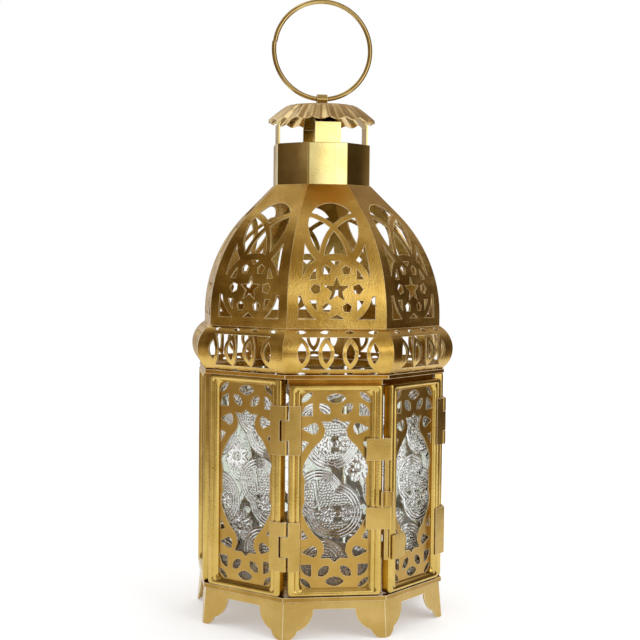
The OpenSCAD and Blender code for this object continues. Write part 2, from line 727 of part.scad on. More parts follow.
// Flat strip behind the guides, with a scooped finger tab between them
module slide_bolt() color(gold) {
    tab_z = plate_z + guide_low + guide_h + tab_gap;
    tip_z = tab_z - bolt_reach;
    head_z = plate_z + guide_high + guide_h - tab_gap;
    translate([bolt_in, bolt_front, tip_z]) cube([bolt_w, bolt_t, head_z - tip_z]);
    back = -panel_apothem - guide_t;
    translate([bolt_in + bolt_w / 2, back, tab_z]) linear_extrude(tab_h) {
        translate([-bolt_t / 2, -bolt_t / 2]) square([bolt_t, bolt_front - back + bolt_t]);
        intersection() {
            translate([0, -tab_w / 2]) difference() {
                circle(tab_w / 2, $fn = fine);
                circle(tab_w / 2 - bolt_t, $fn = fine);
            }
            translate([-tab_w / 2, -tab_d]) square([tab_w, tab_d]);
        }
    }
}

keeper_w_share = 0.42;
keeper_roll = 1.5 * guide_t;

// Plate on the neighbouring door whose edge rolls outwards beside the bolt
module bolt_keeper() color(pale) on_side(1) translate([0, 0, plate_z + keeper_low]) linear_extrude(keeper_h) {
    edge = -frame_w / 2 + keeper_roll;
    translate([edge, -panel_apothem - guide_t]) square([frame_band + frame_w / 2 * keeper_w_share / 2, guide_t]);
    translate([edge, -panel_apothem - keeper_roll]) difference() {
        circle(keeper_roll, $fn = fine);
        circle(keeper_roll - guide_t, $fn = fine);
        square(2 * keeper_roll);
    }
}

base_skirt();
base_plate();
candle_cup();
fixed_panel_frame(2);  // frame_right
fixed_panel_frame(3);  // frame_rear_right
fixed_panel_frame(4);  // frame_rear
fixed_panel_frame(5);  // frame_rear_left
fixed_panel_frame(6);  // frame_left
fixed_panel_frame(7);  // frame_front_left
fixed_panel_grille(2);  // grille_right
fixed_panel_grille(3);  // grille_rear_right
fixed_panel_grille(4);  // grille_rear
fixed_panel_grille(5);  // grille_rear_left
fixed_panel_grille(6);  // grille_left
fixed_panel_grille(7);  // grille_front_left
fixed_panel_glass(2);  // glass_right
fixed_panel_glass(3);  // glass_rear_right
fixed_panel_glass(4);  // glass_rear
fixed_panel_glass(5);  // glass_rear_left
fixed_panel_glass(6);  // glass_left
fixed_panel_glass(7);  // glass_front_left
glass_clips();
eaves_ring();
belly_band();
dome_petal(0);  // dome_petal_front
dome_petal(1);  // dome_petal_front_right
dome_petal(2);  // dome_petal_right
dome_petal(3);  // dome_petal_rear_right
dome_petal(4);  // dome_petal_rear
dome_petal(5);  // dome_petal_rear_left
dome_petal(6);  // dome_petal_left
dome_petal(7);  // dome_petal_front_left
chimney_collar();
chimney_struts();
chimney_cap();
ring_strap();
hanging_ring();
left_hinge_leaves();
right_hinge_leaves();
hinge_pins();
door_frame(0);  // left_door_frame
door_grille(0);  // left_door_grille
door_glass(0);  // left_door_glass
door_clips(0);  // left_door_clips
left_door_leaves();
upper_bolt_guide();
lower_bolt_guide();
door_frame(1);  // right_door_frame
door_grille(1);  // right_door_grille
door_glass(1);  // right_door_glass
door_clips(1);  // right_door_clips
right_door_leaves();
bolt_keeper();
slide_bolt();
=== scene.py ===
"""Looks for the eight-sided candle lantern: gold-lacquered sheet, pressed frames, pressed glass and a soft studio."""

import math

import bmesh
import bpy
import numpy as np
from mathutils import Euler, Matrix, Vector

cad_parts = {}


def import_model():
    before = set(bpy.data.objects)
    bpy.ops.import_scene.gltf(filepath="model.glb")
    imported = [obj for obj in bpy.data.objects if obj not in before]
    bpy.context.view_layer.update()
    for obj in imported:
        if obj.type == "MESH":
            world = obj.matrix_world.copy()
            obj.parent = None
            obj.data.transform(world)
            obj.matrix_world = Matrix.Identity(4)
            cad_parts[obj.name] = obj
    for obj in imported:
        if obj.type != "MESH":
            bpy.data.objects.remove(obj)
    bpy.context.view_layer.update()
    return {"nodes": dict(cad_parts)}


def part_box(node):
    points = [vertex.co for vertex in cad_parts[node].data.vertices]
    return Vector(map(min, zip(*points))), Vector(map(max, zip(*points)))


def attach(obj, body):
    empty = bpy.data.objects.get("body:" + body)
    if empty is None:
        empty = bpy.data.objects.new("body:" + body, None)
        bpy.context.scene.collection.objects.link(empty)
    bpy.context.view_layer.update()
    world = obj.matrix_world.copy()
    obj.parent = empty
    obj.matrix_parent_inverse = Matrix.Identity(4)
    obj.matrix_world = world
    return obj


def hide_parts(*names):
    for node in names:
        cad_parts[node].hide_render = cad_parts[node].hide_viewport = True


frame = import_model()

MM = 0.001
SIDES = 8
TURN = math.tau / SIDES
HALF_TAN = math.tan(TURN / 2)
FIXED = {"right": 2, "rear_right": 3, "rear": 4, "rear_left": 5, "left": 6, "front_left": 7}
ALL_ROUND = ["front", "front_right"] + list(FIXED)

# Sizes that the sheet metal shares, in metres
SHEET = 0.8 * MM
PANEL_PLANE = 51 * MM
BAND, RAIL, FRAME_DEPTH = 5.0 * MM, 2.9 * MM, 3.9 * MM
GRILLE_BACK, GLASS_BACK, GLASS = 1.95 * MM, 2.45 * MM, 1.8 * MM
NECK = 48.5 * MM
DOME_RADIUS, DOME_SLOPE, DOME_WALL = 62 * MM, math.radians(43.5), 4.4 * MM
DOME_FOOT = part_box("dome_petal_front")[0].z
BELLY_BULGE = 5.4 * MM
COLLAR = 20.15 * MM


# ---------------------------------------------------------------- helpers

def put(tree, kind, wires=None, **settings):
    """Adds a node, wires or sets its inputs by name or number, and returns its first output."""
    node = tree.nodes.new(kind)
    for key, value in settings.items():
        setattr(node, key, value)
    for key, wire in (wires or {}).items():
        if isinstance(wire, bpy.types.NodeSocket):
            tree.links.new(wire, node.inputs[key])
        else:
            node.inputs[key].default_value = wire
    return node.outputs[0] if node.outputs else node


def mixed(tree, share, a, b, blend="MIX"):
    """Mixes two colours."""
    return put(tree, "ShaderNodeMix", {0: share, 6: a, 7: b}, data_type="RGBA", blend_type=blend).node.outputs[2]


def sums(tree, operation, a, b=None, c=None):
    """One Math node."""
    return put(tree, "ShaderNodeMath", {i: w for i, w in enumerate((a, b, c)) if w is not None}, operation=operation)


def join_to(body, slot, obj, *nodes):
    """A finished piece rides on its body and stands for its nodes, which are hidden; the slot is not used."""
    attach(obj, body)
    if nodes:
        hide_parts(*nodes)
    return obj


def made(name, verts, faces, finish, smooth=35):
    """A mesh object with soft shading below the given angle."""
    mesh = bpy.data.meshes.new(name)
    mesh.from_pydata([tuple(v) for v in verts], [], faces)
    obj = bpy.data.objects.new(name, mesh)
    bpy.context.scene.collection.objects.link(obj)
    settle(obj, finish, smooth)
    return obj


def settle(obj, finish, smooth=35):
    mesh = obj.data
    mesh.materials.clear()
    mesh.materials.append(finish)
    mesh.shade_smooth()
    mesh.set_sharp_from_angle(angle=math.radians(smooth))
    mesh.update()


def baked(obj):
    """Turns an object with modifiers into a plain mesh."""
    bpy.context.view_layer.update()
    finishes = list(obj.data.materials)
    graph = bpy.context.evaluated_depsgraph_get()
    mesh = bpy.data.meshes.new_from_object(obj.evaluated_get(graph), preserve_all_data_layers=True, depsgraph=graph)
    obj.modifiers.clear()
    obj.data = mesh
    mesh.name = obj.name
    mesh.materials.clear()
    for finish in finishes:
        mesh.materials.append(finish)
    return obj


def weighted(obj):
    """Keeps broad faces flat to the eye beside their eased edges."""
    turn = obj.modifiers.new("flat faces", "WEIGHTED_NORMAL")
    turn.keep_sharp = True
    turn.weight = 80
    return baked(obj)


def eased(node, name, finish, ease=0.12 * MM, levels=(), bend=None, hard=28, pierced=False):
    """A copy of a CAD node with its sheet bent to the true curve and its cut edges rounded and marked."""
    bm = bmesh.new()
    bm.from_mesh(frame["nodes"][node].data)
    cut = bm.faces.layers.float.new("cut")
    bmesh.ops.remove_doubles(bm, verts=bm.verts[:], dist=2e-6)
    bmesh.ops.dissolve_limit(bm, angle_limit=math.radians(0.5), verts=bm.verts[:], edges=bm.edges[:])
    for point, normal in levels:
        bmesh.ops.bisect_plane(bm, geom=bm.verts[:] + bm.edges[:] + bm.faces[:], dist=1e-7,
                               plane_co=point, plane_no=normal)
    if bend:
        for v in bm.verts:
            v.co = bend(v.co)
    bm.normal_update()
    # Painted highlight, partly rubbed lacquer: the hole walls of a pierced sheet get a light mark for a paler colour.
    for face in bm.faces if pierced else ():
        middle = face.calc_center_median()
        out = TURN * round((math.atan2(middle.y, middle.x) + math.pi / 2) / TURN) - math.pi / 2
        face[cut] = 0.3 * (abs(face.normal.x * math.cos(out) + face.normal.y * math.sin(out)) < 0.42)
    corners = [e for e in bm.edges if len(e.link_faces) == 2 and e.calc_face_angle(0) > math.radians(hard)]
    rounded = bmesh.ops.bevel(bm, geom=corners, offset=ease, offset_type="OFFSET", segments=2, profile=0.5,
                              affect="EDGES", clamp_overlap=True)
    # The rounded edges get the full mark: pale, partly rubbed lacquer and partly painted highlight.
    for face in rounded["faces"]:
        face[cut] = 1.0
    mesh = bpy.data.meshes.new(name)
    bm.to_mesh(mesh)
    bm.free()
    obj = bpy.data.objects.new(name, mesh)
    bpy.context.scene.collection.objects.link(obj)
    settle(obj, finish, 40)
    return weighted(obj)


def turned(obj, side):
    """Turns a piece made for the left door's side to another side."""
    obj.data.transform(Matrix.Rotation(TURN * side, 4, "Z"))
    return obj


# ---------------------------------------------------------------- finishes

def gold(name, deep, bright, rough=0.28, spread=0.1, grain=0.3, grain_size=0.5, grain_depth=0.1, wave=0.15,
         painted_fold_shade=0.6, worn_and_highlight=0.8, rim_highlight_mm=0.0, painted_reflection_patch=None):
    """Gold lacquer on sheet metal: cloudy tone, grain, soft waves, pale cut edges that are partly rubbed lacquer and
    partly painted highlight, an optional painted reflection patch, and painted shade, deeper and browner, in the folds.
    """
    mat = bpy.data.materials.new(name)
    mat.use_nodes = True
    tree = mat.node_tree
    shader = tree.nodes["Principled BSDF"]
    here = put(tree, "ShaderNodeTexCoord").node.outputs["Object"]
    cloud = put(tree, "ShaderNodeTexNoise", {"Vector": here, "Scale": 70.0, "Detail": 3.0, "Roughness": 0.6})
    fleck = put(tree, "ShaderNodeTexNoise", {"Vector": here, "Scale": 0.8 / (grain_size * MM), "Detail": 3.0})
    swell = put(tree, "ShaderNodeTexNoise", {"Vector": here, "Scale": 60.0, "Detail": 1.0})
    blend = put(tree, "ShaderNodeMapRange", {"Value": cloud, "From Min": 0.35, "From Max": 0.65})
    tone = mixed(tree, blend, (*deep, 1), (*bright, 1))
    # Painted reflection: a deep orange patch where the collar's warm underside would be mirrored in the sheet.
    if painted_reflection_patch:
        centre, reach, colour = painted_reflection_patch
        away = put(tree, "ShaderNodeVectorMath", {0: here, 1: centre}, operation="DISTANCE").node.outputs["Value"]
        soft = sums(tree, "MULTIPLY_ADD", cloud, 0.4 * reach, away)
        near = put(tree, "ShaderNodeMapRange", {"Value": soft, "From Min": reach * 0.8, "From Max": reach * 1.5,
                                                "To Min": 1.0, "To Max": 0.0})
        tone = mixed(tree, near, tone, (*colour, 1))
    # Painted shade: ambient occlusion darkens and browns the colour in folds, grooves and recesses.
    fold = put(tree, "ShaderNodeAmbientOcclusion", {"Distance": 2.0 * MM}, samples=6).node.outputs["AO"]
    shade = put(tree, "ShaderNodeMapRange", {"Value": fold, "From Min": 0.2, "From Max": 0.8,
                                             "To Min": painted_fold_shade, "To Max": 0.0})
    tone = mixed(tree, shade, tone, mixed(tree, 1.0, tone, (0.72, 0.42, 0.16, 1), "MULTIPLY"))
    # Pale cut edges, partly rubbed lacquer and partly painted highlight: the marked faces and, when a radius is given,
    # also the rounded borders that the Bevel node finds turn pale cream and less metallic.
    cut = put(tree, "ShaderNodeAttribute", attribute_name="cut").node.outputs["Fac"]
    if rim_highlight_mm:
        eased_off = put(tree, "ShaderNodeBevel", {"Radius": rim_highlight_mm * MM}, samples=6)
        alike = put(tree, "ShaderNodeVectorMath", {0: eased_off, 1: tree.nodes.new("ShaderNodeNewGeometry").outputs["Normal"]},
                    operation="DOT_PRODUCT").node.outputs["Value"]
        edge = put(tree, "ShaderNodeMapRange", {"Value": alike, "From Min": 0.985, "From Max": 0.86})
        cut = sums(tree, "MAXIMUM", cut, edge)
    wear_and_highlight = sums(tree, "MULTIPLY", cut, sums(tree, "MULTIPLY_ADD", blend, worn_and_highlight * 0.6, 0.5))
    tone = mixed(tree, wear_and_highlight, tone, (0.96, 0.84, 0.52, 1))
    tree.links.new(tone, shader.inputs["Base Color"])
    dull = put(tree, "ShaderNodeMapRange", {"Value": cloud, "From Min": 0.3, "From Max": 0.7,
                                            "To Min": rough - spread / 2, "To Max": rough + spread / 2})
    dull = sums(tree, "MULTIPLY_ADD", cut, 0.24, dull)
    tree.links.new(dull, shader.inputs["Roughness"])
    broad = put(tree, "ShaderNodeBump", {"Strength": 1.0, "Distance": wave * MM, "Height": swell})
    bump = put(tree, "ShaderNodeBump", {"Strength": grain, "Distance": grain_depth * MM, "Height": fleck,
                                         "Normal": broad})
    tree.links.new(bump, shader.inputs["Normal"])
    tree.links.new(sums(tree, "MULTIPLY_ADD", cut, -0.85, 1.0), shader.inputs["Metallic"])
    shader.inputs["Coat Weight"].default_value = 0.2
    shader.inputs["Coat Roughness"].default_value = 0.1
    return mat


def pressed_glass(name):
    """Clear pressed glass, grey-green in the hollows of its pattern as painted shade, with a fire-polished skin."""
    mat = bpy.data.materials.new(name)
    mat.use_nodes = True
    tree = mat.node_tree
    shader = tree.nodes["Principled BSDF"]
    here = put(tree, "ShaderNodeTexCoord").node.outputs["Object"]
    ripple = put(tree, "ShaderNodeTexNoise", {"Vector": here, "Scale": 420.0, "Detail": 2.0})
    relief = put(tree, "ShaderNodeAttribute", attribute_name="relief").node.outputs["Fac"]
    # Painted shade: the glass is tinted grey-green in the hollows of the pattern and left clear on its raised tops.
    hollow_shade_tint = mixed(tree, put(tree, "ShaderNodeMapRange", {"Value": relief, "From Min": 0.0, "From Max": 0.5}),
                 (0.56, 0.62, 0.52, 1), (1.0, 1.0, 1.0, 1))
    tree.links.new(hollow_shade_tint, shader.inputs["Base Color"])
    bump = put(tree, "ShaderNodeBump", {"Strength": 0.15, "Distance": 0.1 * MM, "Height": ripple})
    tree.links.new(bump, shader.inputs["Normal"])
    shader.inputs["Transmission Weight"].default_value = 1.0
    shader.inputs["Roughness"].default_value = 0.04
    shader.inputs["IOR"].default_value = 1.48
    return mat


SHEET_GOLD = gold("sheet gold", (0.50, 0.33, 0.085), (0.62, 0.43, 0.14))
MOULDING_GOLD = gold("moulding gold", (0.56, 0.385, 0.090), (0.70, 0.50, 0.145), rough=0.22, painted_fold_shade=0.5)
PIERCED_GOLD = gold("pierced sheet gold", (0.44, 0.265, 0.052), (0.54, 0.34, 0.082), rough=0.32, grain=0.2, rim_highlight_mm=0.3)
# The dome gold carries a painted reflection, a deep orange patch high on the front petal.
DOME_GOLD = gold("dome gold", (0.50, 0.30, 0.048), (0.72, 0.48, 0.120), rough=0.24, grain=1.0, grain_size=0.5,
                 grain_depth=0.10, wave=0.5, rim_highlight_mm=0.36, painted_reflection_patch=((0, -0.026, 0.182), 0.010, (0.54, 0.24, 0.016)))
# Painted highlight: a paler, less saturated copy of the gold, so that the collar's highlight reads pale.
HIGHLIGHTED_COLLAR_GOLD = gold("highlighted collar gold", (0.62, 0.48, 0.17), (0.78, 0.65, 0.28), rough=0.13, grain=0.2, wave=0.35, painted_fold_shade=0.3)
CAP_GOLD = gold("cap gold", (0.56, 0.40, 0.16), (0.88, 0.69, 0.37), rough=0.16, painted_fold_shade=0.95)
WIRE_GOLD = gold("wire gold", (0.44, 0.30, 0.09), (0.62, 0.46, 0.18), rough=0.22, grain=0.15, painted_fold_shade=0.2)
HINGE_GOLD = gold("hinge gold", (0.47, 0.305, 0.070), (0.60, 0.41, 0.115), rough=0.28, grain=0.35, wave=0.3)
# Painted shade: a darker, browner copy of the gold for the base plate, standing in for the darkness its rim reflects.
SHADED_TRAY_GOLD = gold("shaded tray gold", (0.34, 0.19, 0.032), (0.46, 0.28, 0.060), rough=0.26, painted_fold_shade=0.9)
# Painted shade with a painted warm reflection: a deep orange copy of the gold for the eaves under the belly.
SHADED_EAVES_GOLD = gold("shaded eaves gold", (0.46, 0.22, 0.020), (0.62, 0.34, 0.045), rough=0.24, painted_fold_shade=0.9)
CLEAR_GLASS = pressed_glass("clear pressed glass")


# ---------------------------------------------------------------- base and eaves

def base():
    for node, name, slot, finish in (("base_skirt", "footed_skirt", "base_sheet", SHEET_GOLD),
                                     ("base_plate", "base_tray", "base_sheet", SHADED_TRAY_GOLD),
                                     ("eaves_ring", "eaves_tray", "base_sheet", SHADED_EAVES_GOLD),
                                     ("candle_cup", "tealight_cup", "cup_sheet", SHEET_GOLD)):
        join_to("lantern", slot, eased(node, name, finish, 0.18 * MM), node)


# ---------------------------------------------------------------- panel frames

# Moulding as (share of the way in, depth of the uprights, depth of the rails), as shares of its depth
BEAD = [(0.27 - 0.27 * math.cos(a), *[0.30 - 0.30 * math.sin(a)] * 2) for a in np.linspace(0, math.pi / 2, 8)]
FACE = BEAD + [(0.36, 0.012, 0.004), (0.44, 0.045, 0.012), (0.50, 0.100, 0.025), (0.535, 0.145, 0.034),
               (0.55, 0.155, 0.040), (0.565, 0.145, 0.046), (0.60, 0.090, 0.060), (0.65, 0.050, 0.086),
               (0.72, 0.035, 0.130), (0.79, 0.050, 0.190), (0.85, 0.100, 0.245), (0.90, 0.170, 0.295),
               (0.94, 0.240, 0.335), (0.965, 0.320, 0.355), (1.0, 0.36, 0.375), (1.0, 0.5, 0.5)]
BACK = [(0.85, 0.5, 0.5), (0.85, 0.42, 0.48), (0.78, 0.26, 0.44), (0.66, 0.28, 0.38), (0.56, 0.38, 0.34),
        (0.49, 0.36, 0.30), (0.40, 0.22, 0.24), (0.26, 0.19, 0.20), (0.19, 0.22, 0.22), (0.15, 0.31, 0.31),
        (0.15, 1.0, 1.0)]
CORNER_STEPS = 8


def frame_loop(width, height, low, share, upright, rail):
    """One line of the moulding round a panel, as a rectangle with rounded corners."""
    across, up = width / 2 - share * BAND, height / 2 - share * RAIL
    bend = (1.1 + 1.3 * share) * MM
    loop = []
    for corner in range(4):
        for step in range(CORNER_STEPS + 1):
            a = math.pi / 2 * (corner + step / CORNER_STEPS)
            cx = (across - bend) * (1 if corner in (0, 3) else -1)
            cz = (up - bend) * (1 if corner in (0, 1) else -1)
            depth = upright + (rail - upright) * math.sin(a) ** 2
            loop.append((cx + bend * math.cos(a), depth * FRAME_DEPTH - PANEL_PLANE,
                         low + height / 2 + cz + bend * math.sin(a)))
    return loop


def pressed_frame(node, name):
    """A frame pressed from sheet, mitred at the corners, on the left door's side."""
    lowest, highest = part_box(node)
    width = 2 * (PANEL_PLANE * HALF_TAN - 2.2 * MM)
    verts, faces = [], []
    lines = [(0.0, 1.0, 1.0)] + FACE + BACK
    for line in lines:
        verts += frame_loop(width, highest.z - lowest.z, lowest.z, *line)
    n = 4 * (CORNER_STEPS + 1)
    for j in range(len(lines)):
        for k in range(n):
            a, b = j * n + k, j * n + (k + 1) % n
            c, d = ((j + 1) % len(lines)) * n + (k + 1) % n, ((j + 1) % len(lines)) * n + k
            faces.append((a, b, c, d))
    obj = made(name, verts, faces, MOULDING_GOLD, 38)
    bm = bmesh.new()
    bm.from_mesh(obj.data)
    bmesh.ops.recalc_face_normals(bm, faces=bm.faces[:])
    bm.to_mesh(obj.data)
    bm.free()
    return obj


def frames():
    for place, side in FIXED.items():
        node = "frame_" + place
        join_to("lantern", "frame_moulding", turned(pressed_frame(node, "moulding_" + place), side), node)
    for door, side in (("left_door", 0), ("right_door", 1)):
        node = door + "_frame"
        join_to(door, "frame_moulding", turned(pressed_frame(node, door + "_moulding"), side), node)


def grilles():
    for place in FIXED:
        node = "grille_" + place
        join_to("lantern", "pierced_sheet", eased(node, "pierced_panel_" + place, PIERCED_GOLD, 0.13 * MM,
                                                   pierced=True), node)
    for door in ("left_door", "right_door"):
        node = door + "_grille"
        join_to(door, "pierced_sheet", eased(node, door + "_pierced_panel", PIERCED_GOLD, 0.13 * MM,
                                             pierced=True), node)


# ---------------------------------------------------------------- pressed glass

RELIEF = 0.45 * MM
LOBES = ((-3.0 * MM, 3.8 * MM, 9.8 * MM), (3.0 * MM, -3.2 * MM, 11.2 * MM))
PITCH = 28.1 * MM


def hump(t):
    """Round-topped ridge, one wide either side of nought."""
    return np.clip(1 - t * t, 0, 1) ** 0.75


def plateau(t):
    """Flat-topped ridge with steep sides, one wide either side of nought."""
    return np.clip(1.9 * (1 - t * t), 0, 1)


def flower(x, z, reach, petals, heart, turn=0.0):
    """Open flower with flat, veined petals round a button."""
    r, a = np.hypot(x, z), np.arctan2(z, x) + turn
    along = plateau((r / reach - 0.60) / 0.40)
    across = np.abs(np.mod(a * petals / math.tau + 0.5, 1) - 0.5) * math.tau / petals * r
    width = 0.30 * reach * math.tau / petals * hump((r / reach - 0.62) / 0.5) + 1e-9
    vein = 1 - 0.5 * hump(across / (0.36 * MM)) * (r > 0.45 * reach)
    return np.maximum(along * plateau(across / width * 0.8) * vein, hump(r / heart))


def roundel_relief(u, v, shift, turn):
    """Height, nought to one, of the pattern in the glass: two-lobed roundels with ribbed rims, pebbles and flowers."""
    c, s = math.cos(turn), math.sin(turn)
    a, b = (u - shift[0]) * c + (v - shift[1]) * s, -(u - shift[0]) * s + (v - shift[1]) * c
    x, z = a - PITCH * np.round(a / PITCH), b - PITCH * np.round(b / PITCH)
    depth = -np.minimum(*[np.hypot(x - lx, z - lz) - reach for lx, lz, reach in LOBES])
    height = np.zeros_like(depth)
    for k in range(3):
        height = np.maximum(height, hump((depth - (0.55 + 1.2 * k) * MM) / (0.5 * MM)))
    grain = 1.3 * MM
    sway, slip = x + 0.16 * MM * np.sin(z * 1900 + x * 700), z + 0.16 * MM * np.sin(x * 1700 - z * 600)
    row = np.round(slip / (grain * 0.866))
    dx = sway - grain * (np.round(sway / grain - 0.5 * (row % 2)) + 0.5 * (row % 2))
    dot = hump(np.hypot(dx, slip - row * grain * 0.866) / (0.55 * MM))
    inside = depth > 3.75 * MM
    near = 8.6 * MM * np.round(x / (8.6 * MM))
    low = z + 4.5 * MM
    blossom = flower(x - near, low, 3.4 * MM, 6, 0.8 * MM)
    leafy = hump((np.abs(low) - 0.9 * MM * np.sin(math.pi * x / (8.6 * MM)) ** 2) / (0.5 * MM)) * 0.8
    band = np.abs(low) < 3.4 * MM
    sprig = np.maximum(blossom, np.where(np.hypot(x - near, low) > 3.4 * MM, leafy, 0))
    vein = hump((x + 4.0 * MM + 0.12 * (z - 5.6 * MM)) / (0.55 * MM))
    dot = np.where((z > 0) & (np.abs(x + 4.0 * MM) < 1.3 * MM), vein, dot)
    height = np.where(inside, np.where(band, sprig, dot), height)
    p, q = a - PITCH * (np.floor(a / PITCH) + 0.5), b - PITCH * (np.floor(b / PITCH) + 0.5)
    return np.where(depth < -0.2 * MM, flower(p, q, 6.4 * MM, 8, 1.1 * MM, 0.4), height)


def pane(node, name, side, shift, turn):
    """A pane of pressed glass: relief in front, plain behind."""
    lowest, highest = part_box({0: "left_door_glass", 1: "right_door_glass"}.get(side, node))
    tall = highest.z - lowest.z
    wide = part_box("left_door_glass")[1].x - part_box("left_door_glass")[0].x
    nu, nv = int(wide / (0.30 * MM)), int(tall / (0.30 * MM))
    u, v = np.meshgrid(np.linspace(-wide / 2, wide / 2, nu), np.linspace(-tall / 2, tall / 2, nv))
    relief = roundel_relief(u, v, shift, turn)
    lift = RELIEF * relief
    front = np.stack([u, -PANEL_PLANE + GLASS_BACK + RELIEF - lift, v + (lowest.z + highest.z) / 2], -1).reshape(-1, 3)
    ring = ([k for k in range(nu)] + [k * nu + nu - 1 for k in range(1, nv)]
            + [(nv - 1) * nu + k for k in range(nu - 2, -1, -1)] + [k * nu for k in range(nv - 2, 0, -1)])
    back = front[ring].copy()
    back[:, 1] = -PANEL_PLANE + GLASS_BACK + GLASS
    base = len(front)
    faces = [(j * nu + k, j * nu + k + 1, (j + 1) * nu + k + 1, (j + 1) * nu + k)
             for j in range(nv - 1) for k in range(nu - 1)]
    n = len(ring)
    faces += [(ring[(k + 1) % n], ring[k], base + k, base + (k + 1) % n) for k in range(n)]
    faces.append(tuple(base + k for k in range(n - 1, -1, -1)))
    obj = made(name, np.vstack([front, back]), faces, CLEAR_GLASS, 60)
    heights = np.concatenate([relief.ravel(), np.ones(len(back))])
    obj.data.attributes.new("relief", "FLOAT", "POINT").data.foreach_set("value", heights)
    return turned(obj, side)


# Where a roundel's centre falls on each pane, from the pane's middle, and how far the pattern leans
PANES = {"left_door": (-3.4, -5.3, 3), "right_door": (3.0, -2.0, -3), "front_left": (9.5, -2.5, 4),
         "right": (-8.0, 6.0, 2), "rear_right": (5.0, 10.0, -4), "rear": (0.0, -6.0, 3), "rear_left": (-10.0, 3.0, -2),
         "left": (6.0, -11.0, 5)}


def glass():
    for place, (x, z, lean) in PANES.items():
        shift, turn = (x * MM, z * MM), math.radians(lean)
        if place in FIXED:
            node = "glass_" + place
            join_to("lantern", "pressed_glass", pane(node, "pane_" + place, FIXED[place], shift, turn), node)
        else:
            node = place + "_glass"
            side = 0 if place == "left_door" else 1
            join_to(place, "pressed_glass", pane(node, place + "_pane", side, shift, turn), node)


# ---------------------------------------------------------------- belly and dome

def arc(apothem, bulge, tall):
    """Radius and hub of an upright arc that bulges out from the given apothem."""
    radius = (bulge ** 2 + tall ** 2 / 4) / (2 * bulge)
    return radius, apothem + bulge - radius


def belly():
    low, high = (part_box("belly_band")[k].z for k in (0, 1))
    tall, middle = high - low, (low + high) / 2
    thick = SHEET / (1 - BELLY_BULGE / arc(NECK, BELLY_BULGE, tall)[0])
    arcs = (arc(NECK, BELLY_BULGE, tall), arc(NECK - thick, BELLY_BULGE - SHEET + thick, tall))
    radius = arcs[0][0]
    reach = math.asin(tall / 2 / radius)
    levels = [((0, 0, middle + radius * math.sin(reach * (2 * k / 36 - 1))), (0, 0, 1)) for k in range(1, 36) if k % 3]

    def bulge(co):
        side = round((math.atan2(co.y, co.x) + math.pi / 2) / TURN)
        spin = Matrix.Rotation(TURN * side, 3, "Z")
        p = spin.inverted() @ co
        true, hub = min(arcs, key=lambda a: abs(math.hypot(p.y + a[1], p.z - middle) - a[0]))
        y, z = -p.y - hub, p.z - middle
        k = true / math.hypot(y, z)
        return spin @ Vector((p.x, -hub - y * k, middle + z * k))

    join_to("lantern", "dome_sheet", eased("belly_band", "bulged_band", DOME_GOLD, 0.2 * MM, levels, bulge,
                                         pierced=True), "belly_band")


def dome():
    hub = Vector((0, DOME_RADIUS - NECK, DOME_FOOT + DOME_WALL))
    levels = [(hub, (0, math.sin(a), math.cos(a))) for a in
              (DOME_SLOPE * k / 36 for k in range(1, 36) if k % 3)]

    def curve(co):
        y, z = hub.y - co.y, co.z - hub.z
        a, r = math.atan2(z, y), math.hypot(y, z)
        if not 0 < a < DOME_SLOPE:
            return co
        k = (DOME_RADIUS if r > DOME_RADIUS - SHEET / 2 else DOME_RADIUS - SHEET) / r
        return Vector((co.x, hub.y - y * k, hub.z + z * k))

    petal = eased("dome_petal_front", "dome_petals", DOME_GOLD, 0.28 * MM, levels, curve, pierced=True)
    ring_of(petal, SIDES)
    join_to("lantern", "dome_sheet", petal, *["dome_petal_" + place for place in ALL_ROUND])


def ring_of(obj, count):
    """Repeats a piece round the axis with a small geometry tree, and bakes it."""
    tree = bpy.data.node_groups.new("pieces round the axis", "GeometryNodeTree")
    for label, kind in (("Piece", "NodeSocketGeometry"), ("Count", "NodeSocketInt"), ("Finish", "NodeSocketMaterial")):
        tree.interface.new_socket(label, in_out="INPUT", socket_type=kind)
    tree.interface.new_socket("Pieces", in_out="OUTPUT", socket_type="NodeSocketGeometry")
    given = tree.nodes.new("NodeGroupInput")
    points = put(tree, "GeometryNodePoints", {"Count": given.outputs["Count"]})
    step = sums(tree, "DIVIDE", math.tau, given.outputs["Count"])
    angle = sums(tree, "MULTIPLY", put(tree, "GeometryNodeInputIndex"), step)
    spin = put(tree, "ShaderNodeCombineXYZ", {2: angle})
    many = put(tree, "GeometryNodeInstanceOnPoints", {"Points": points, "Instance": given.outputs["Piece"],
                                                      "Rotation": spin})
    real = put(tree, "GeometryNodeRealizeInstances", {0: many})
    done = put(tree, "GeometryNodeSetMaterial", {"Geometry": real, "Material": given.outputs["Finish"]})
    out = tree.nodes.new("NodeGroupOutput")
    tree.links.new(done, out.inputs[0])
    use(obj, tree, {"Count": count, "Finish": obj.data.materials[0]})


def use(obj, tree, values):
    """Runs a geometry tree on a piece with the given inputs and keeps the plain mesh."""
    modifier = obj.modifiers.new(tree.name, "NODES")
    modifier.node_group = tree
    for item in tree.interface.items_tree:
        if item.item_type == "SOCKET" and item.in_out == "INPUT" and item.name in values:
            modifier[item.identifier] = values[item.name]
    return baked(obj)


# ---------------------------------------------------------------- chimney, cap and ring

